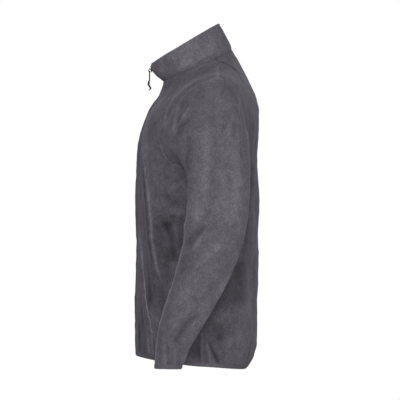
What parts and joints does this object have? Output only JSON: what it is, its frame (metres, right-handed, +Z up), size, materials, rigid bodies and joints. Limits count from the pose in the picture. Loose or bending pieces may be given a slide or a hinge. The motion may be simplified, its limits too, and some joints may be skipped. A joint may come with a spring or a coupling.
{
  "type": "fleece zip jacket",
  "caption": "Long-sleeved fleece jacket in its worn, hollow shape, with a stand collar, a full front zip, slanted side pockets and bound elastic hem and cuffs.",
  "frame": {"origin": "centre of the collar seam, where the wearer's neck and shoulders carry the jacket", "axes": "+Z up, the jacket's front faces -Y, and the wearer's left sleeve is at +X"},
  "size_m": [0.6872, 0.2723, 0.7598],
  "materials": {
    "fleece": "brushed matt pile",
    "elastic_band": "matt knitted elastic",
    "zip_tape": "matt woven tape",
    "zip_coil": "satin moulded plastic",
    "zip_metal": "dark enamel",
    "grip": "matt moulding"
  },
  "bodies": {
    "garment": {"back": "fleece", "front_left": "fleece", "front_right": "fleece", "sleeve_left": "fleece", "sleeve_right": "fleece", "collar": "fleece", "hem_band": "elastic_band", "cuff_band_left": "elastic_band", "cuff_band_right": "elastic_band", "zip_tape_left": "zip_tape", "zip_tape_right": "zip_tape", "zip_chain": "zip_coil", "zip_box": "zip_coil", "zip_slider": "zip_metal", "pocket_welt_left": "fleece", "pocket_welt_right": "fleece"},
    "zip_pull": {"pull_frame": "zip_metal", "pull_grip": "grip"}
  },
  "joints": [
    {"name": "pull_swing", "type": "hinge", "parent": "garment", "child": "zip_pull", "pos_m": [0, -0.10658, -0.01102], "axis": [1, 0, 0], "range_deg": [-130, 25]}
  ]
}
